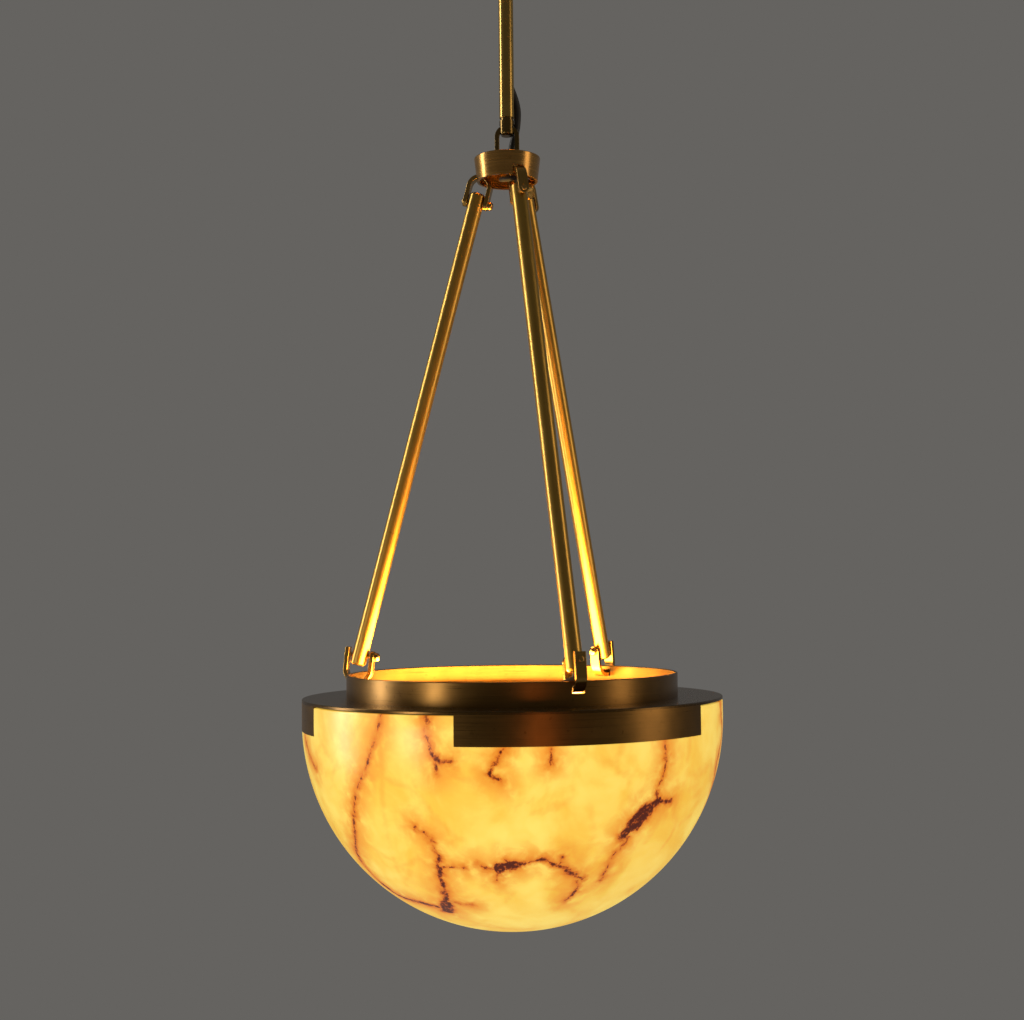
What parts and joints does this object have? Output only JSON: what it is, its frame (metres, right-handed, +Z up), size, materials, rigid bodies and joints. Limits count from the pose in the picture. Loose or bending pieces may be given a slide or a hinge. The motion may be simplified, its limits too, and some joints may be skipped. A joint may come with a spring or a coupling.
{
  "type": "pendant light",
  "caption": "Ceiling pendant: a veined alabaster bowl lit from inside, hung by strap-ended brass rods from a brass hub, bow and downrod.",
  "frame": {"origin": "centre of the ceiling bracket's top face, on the ceiling, on the downrod's axis", "axes": "+Z up, away from the room, along the downrod; -Y towards the viewer of the picture; +X to the viewer's right"},
  "size_m": [0.4, 0.4, 0.9659],
  "materials": {
    "brass": "antique brass, brushed lengthways",
    "dark_brass": "dark antique brass, brushed round",
    "steel": "zinc plated",
    "alabaster": "polished, translucent, veined, lit from inside",
    "rubber": "matt",
    "flex": "matt black sheath",
    "plastic": "matt white",
    "ceramic": "white lampholder body",
    "bulb": "opal, lit"
  },
  "bodies": {
    "ceiling_mount": {"ceiling_bracket": "steel", "rod_coupling": "brass", "terminal_block": "plastic", "canopy": "brass", "canopy_collar": "brass", "canopy_set_screw": "steel", "downrod": "brass", "rod_end_eye": "brass", "supply_lead": "flex", "canopy_cores": "flex"},
    "bow": {"hanger_bow": "brass", "bow_pin": "brass", "supply_flex": "flex"},
    "hub": {"hub_cup": "brass", "hub_grommet": "rubber", "upper_strap_1": "brass", "upper_strap_2": "brass", "upper_strap_3": "brass", "upper_pins": "brass", "hub_lead": "flex"},
    "bowl": {"collar": "dark_brass", "flange": "dark_brass", "skirt_1": "dark_brass", "skirt_2": "dark_brass", "skirt_3": "dark_brass", "alabaster_bowl": "alabaster", "rim_gasket": "rubber", "bowl_clips": "brass", "flange_studs": "steel", "stud_nuts": "steel", "lamp_spider": "steel", "junction_box": "plastic", "lampholder_1": "ceramic", "lampholder_2": "ceramic", "lampholder_3": "ceramic", "holder_nuts": "steel", "holder_leads": "flex", "bulb_cap_1": "brass", "bulb_cap_2": "brass", "bulb_cap_3": "brass", "bulb_globe_1": "bulb", "bulb_globe_2": "bulb", "bulb_globe_3": "bulb", "bowl_lead": "flex"},
    "rod_1": {"rod_tube_1": "brass", "rod_top_end_1": "brass", "rod_bottom_end_1": "brass", "lower_strap_1": "brass", "lower_pin_1": "brass", "rod_wires": "flex"},
    "rod_2": {"rod_tube_2": "brass", "rod_top_end_2": "brass", "rod_bottom_end_2": "brass", "lower_strap_2": "brass", "lower_pin_2": "brass"},
    "rod_3": {"rod_tube_3": "brass", "rod_top_end_3": "brass", "rod_bottom_end_3": "brass", "lower_strap_3": "brass", "lower_pin_3": "brass"}
  },
  "joints": [
    {"name": "bow_sway", "type": "hinge", "parent": "ceiling_mount", "child": "bow", "pos_m": [0, 0, -0.2034], "axis": [0, 1, 0], "range_deg": [-20, 20], "deforming": ["supply_flex"]},
    {"name": "hub_swing", "type": "hinge", "parent": "bow", "child": "hub", "pos_m": [0, 0, -0.219], "axis": [1, 0, 0], "range_deg": [-20, 20], "deforming": ["supply_flex"]},
    {"name": "bowl_twist", "type": "hinge", "parent": "hub", "child": "bowl", "pos_m": [0, 0, -0.7289], "axis": [0, 0, 1], "range_deg": [-4, 4]},
    {"name": "rod_1_swing", "type": "hinge", "parent": "hub", "child": "rod_1", "pos_m": [0.01142, -0.02936, -0.26701], "axis": [0.3501, -0.9003, 0.2588], "range_deg": [-1.5, 1.5]},
    {"name": "rod_2_swing", "type": "hinge", "parent": "hub", "child": "rod_2", "pos_m": [0.01972, 0.02457, -0.26701], "axis": [0.6046, 0.7533, 0.2588], "range_deg": [-1.5, 1.5]},
    {"name": "rod_3_swing", "type": "hinge", "parent": "hub", "child": "rod_3", "pos_m": [-0.03113, 0.00479, -0.26701], "axis": [-0.9547, 0.1469, 0.2588], "range_deg": [-1.5, 1.5]}
  ],
  "couplings": [
    {"joint": "rod_1_swing", "follows": "bowl_twist", "ratio": 0.32773},
    {"joint": "rod_2_swing", "follows": "bowl_twist", "ratio": 0.32773},
    {"joint": "rod_3_swing", "follows": "bowl_twist", "ratio": 0.32773}
  ]
}
